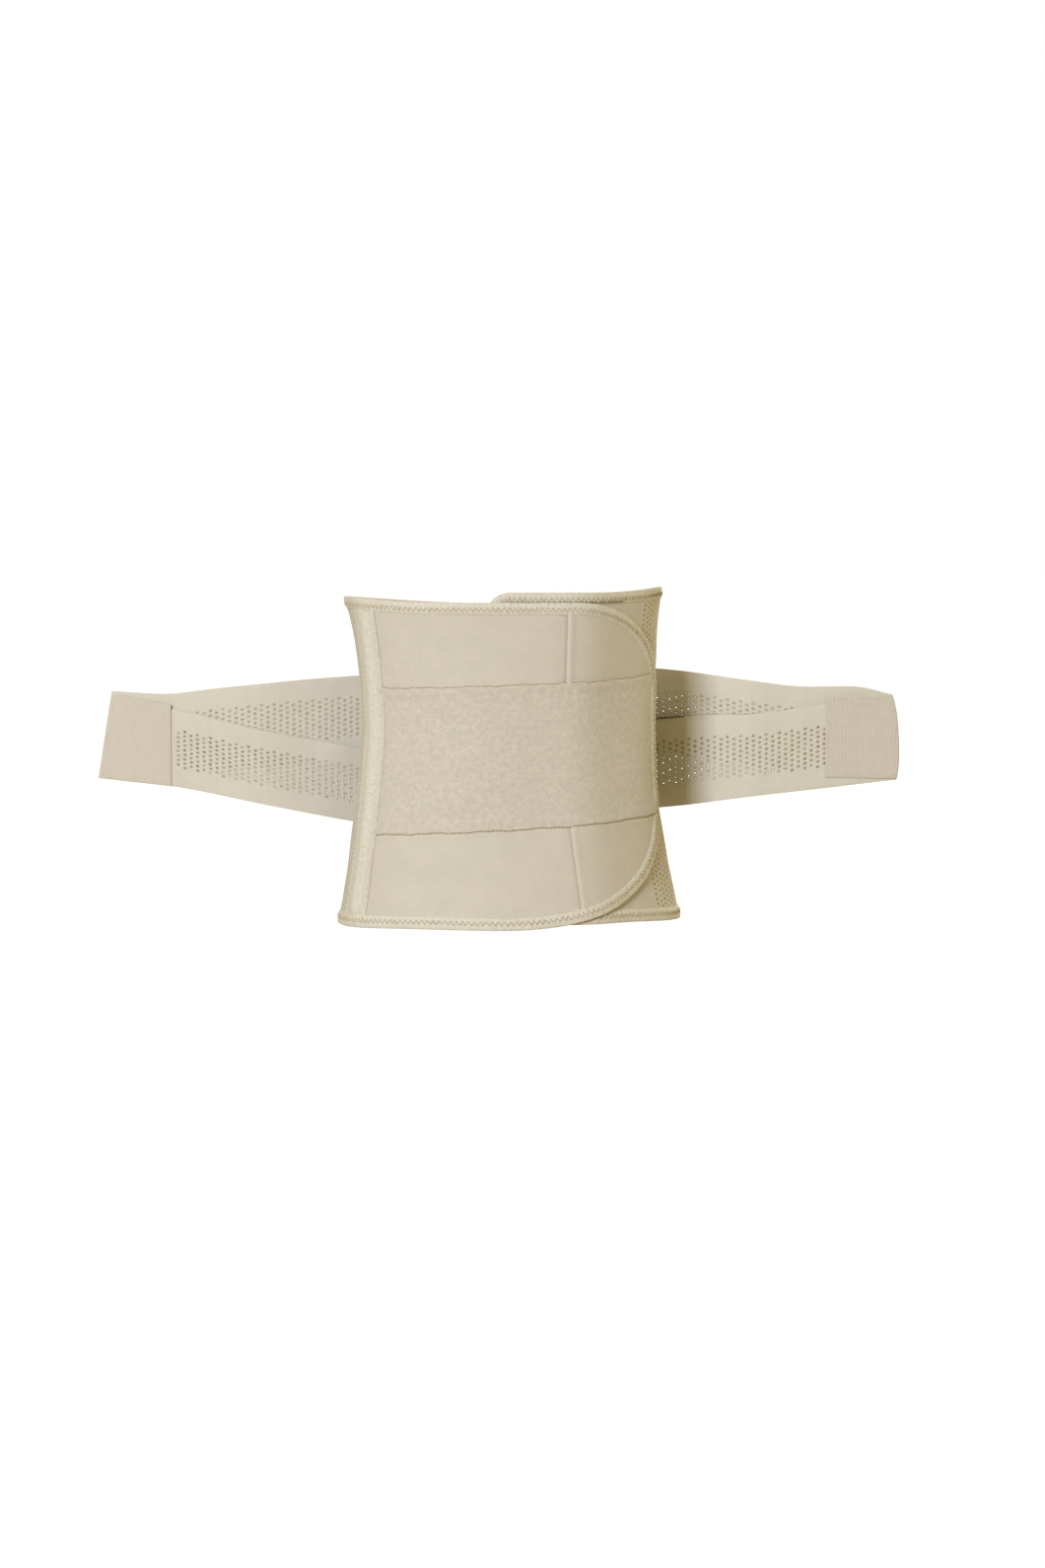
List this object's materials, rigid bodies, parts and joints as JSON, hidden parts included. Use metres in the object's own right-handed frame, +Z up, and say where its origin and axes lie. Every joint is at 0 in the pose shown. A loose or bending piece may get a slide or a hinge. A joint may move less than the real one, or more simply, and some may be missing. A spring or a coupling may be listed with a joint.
{
  "type": "lumbar support belt",
  "caption": "Wrap-around lumbar support belt with elastic and plush panels, bound edges, stay casings and doubled perforated side straps with hook tabs.",
  "frame": {"origin": "Centre of the whole belt's footprint, on the surface that its bottom edge stands on.", "axes": "+Z up along the wearer's trunk, +Y towards the wearer's back, -Y the front where the belt closes, +X towards the right-hand side seen from the front."},
  "size_m": [0.706, 0.2232, 0.2885],
  "materials": {
    "perforated_elastic": "perforated knitted elastic",
    "elastic_fabric": "fine ribbed woven elastic",
    "plush_loop": "brushed plush loop",
    "edge_binding": "folded woven tape with zigzag stitching",
    "seam_tape": "woven tape",
    "perforated_webbing": "perforated elastic webbing with solid edges",
    "hook_tape": "matt moulded hook tape",
    "stay_steel": "flat spring steel"
  },
  "bodies": {
    "back": {"back_bottom_binding": "edge_binding", "back_panel": "perforated_elastic", "back_stay_1": "stay_steel", "back_stay_2": "stay_steel", "back_stay_3": "stay_steel", "back_stay_4": "stay_steel", "back_stay_casing_1": "seam_tape", "back_stay_casing_2": "seam_tape", "back_stay_casing_3": "seam_tape", "back_stay_casing_4": "seam_tape", "back_top_binding": "edge_binding", "left_lower_band_root": "perforated_webbing", "left_strap_anchor": "seam_tape", "left_upper_band_root": "perforated_webbing", "right_lower_band_root": "perforated_webbing", "right_strap_anchor": "seam_tape", "right_upper_band_root": "perforated_webbing"},
    "overlap_wing": {"left_side_casing": "seam_tape", "left_side_stay": "stay_steel", "overlap_bottom_binding": "edge_binding", "overlap_loop_panel": "plush_loop", "overlap_lower_elastic": "elastic_fabric", "overlap_top_binding": "edge_binding", "overlap_upper_elastic": "elastic_fabric"},
    "overlap_flap": {"flap_edge_binding": "edge_binding", "flap_hook_patch": "hook_tape", "flap_loop_panel": "plush_loop", "flap_lower_corner": "elastic_fabric", "flap_upper_corner": "elastic_fabric"},
    "underlap_wing": {"right_side_casing": "seam_tape", "right_side_stay": "stay_steel", "underlap_edge_binding": "edge_binding", "underlap_loop_panel": "plush_loop", "underlap_lower_elastic": "elastic_fabric", "underlap_upper_elastic": "elastic_fabric"},
    "left_strap_inner": {"left_lower_band_inner": "perforated_webbing", "left_upper_band_inner": "perforated_webbing"},
    "left_strap_outer": {"left_hook_patch": "hook_tape", "left_lower_band_outer": "perforated_webbing", "left_tab_backing": "seam_tape", "left_upper_band_outer": "perforated_webbing"},
    "right_strap_inner": {"right_lower_band_inner": "perforated_webbing", "right_upper_band_inner": "perforated_webbing"},
    "right_strap_outer": {"right_hook_patch": "hook_tape", "right_lower_band_outer": "perforated_webbing", "right_tab_backing": "seam_tape", "right_upper_band_outer": "perforated_webbing"}
  },
  "joints": [
    {"name": "overlap_open", "type": "hinge", "parent": "back", "child": "overlap_wing", "pos_m": [-0.1355, -0.0155, 0.14], "axis": [0, 0, -1], "range_deg": [0, 80]},
    {"name": "overlap_flap_peel", "type": "hinge", "parent": "overlap_wing", "child": "overlap_flap", "pos_m": [0.0515, -0.104, 0.14], "axis": [0, 0, -1], "range_deg": [0, 65]},
    {"name": "underlap_open", "type": "hinge", "parent": "back", "child": "underlap_wing", "pos_m": [0.1455, -0.0155, 0.14], "axis": [0, 0, 1], "range_deg": [0, 56]},
    {"name": "left_strap_swing", "type": "hinge", "parent": "back", "child": "left_strap_inner", "pos_m": [-0.0965, 0.0977, 0.154], "axis": [0, 0, -1], "range_deg": [-40, 24]},
    {"name": "left_strap_bend", "type": "hinge", "parent": "left_strap_inner", "child": "left_strap_outer", "pos_m": [-0.2115, 0.0637, 0.154], "axis": [0, 0, -1], "range_deg": [-70, 6]},
    {"name": "right_strap_swing", "type": "hinge", "parent": "back", "child": "right_strap_inner", "pos_m": [0.1035, 0.0977, 0.154], "axis": [0, 0, 1], "range_deg": [-40, 24]},
    {"name": "right_strap_bend", "type": "hinge", "parent": "right_strap_inner", "child": "right_strap_outer", "pos_m": [0.2185, 0.0637, 0.154], "axis": [0, 0, 1], "range_deg": [-70, 6]}
  ],
  "couplings": [
    {"joint": "underlap_open", "follows": "overlap_open", "ratio": 0.7}
  ]
}
